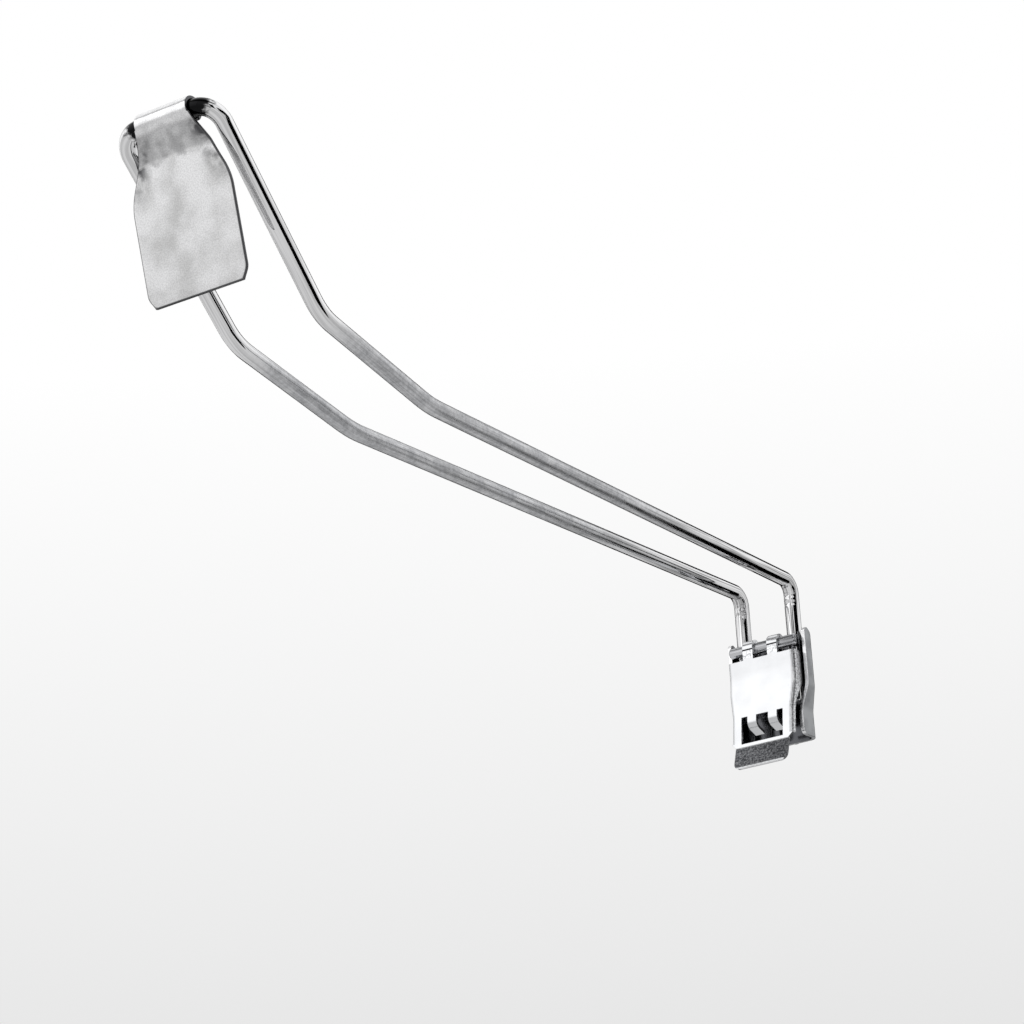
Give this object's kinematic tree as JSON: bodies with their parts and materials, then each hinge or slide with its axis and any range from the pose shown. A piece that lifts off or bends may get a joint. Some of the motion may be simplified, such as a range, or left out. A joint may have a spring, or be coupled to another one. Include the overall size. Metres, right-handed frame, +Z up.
{
  "type": "pegboard hook",
  "caption": "Long twin-wire pegboard hook with upturned end, a label plate that swings on its front bar, and a hinged sheet-metal clip that hangs in the board's holes.",
  "frame": {"origin": "centre of the bracket's back face, midway between the two board holes", "axes": "+Y into the board, the hook reaches out along -Y, +X to the right seen from the front, +Z up"},
  "size_m": [0.036, 0.3096, 0.1207],
  "materials": {
    "plated_wire": "bright plated steel wire with fine draw lines",
    "plated_sheet": "bright plated steel sheet",
    "label_sheet": "satin zinc-plated steel sheet"
  },
  "bodies": {
    "hook": {"wall_bracket": "plated_sheet", "upper_prong": "plated_wire", "lower_peg": "plated_wire", "wire_arm": "plated_wire", "hinge_pin": "plated_wire"},
    "cover": {"clip_cover": "plated_sheet"},
    "label": {"label_plate": "label_sheet"}
  },
  "joints": [
    {"name": "cover_hinge", "type": "hinge", "parent": "hook", "child": "cover", "pos_m": [0, -0.0078, 0.0144], "axis": [-1, 0, 0], "range_deg": [0, 100]},
    {"name": "label_hinge", "type": "hinge", "parent": "hook", "child": "label", "pos_m": [0, -0.29718, 0.09114], "axis": [-1, 0, 0], "range_deg": [-16, 300]}
  ]
}
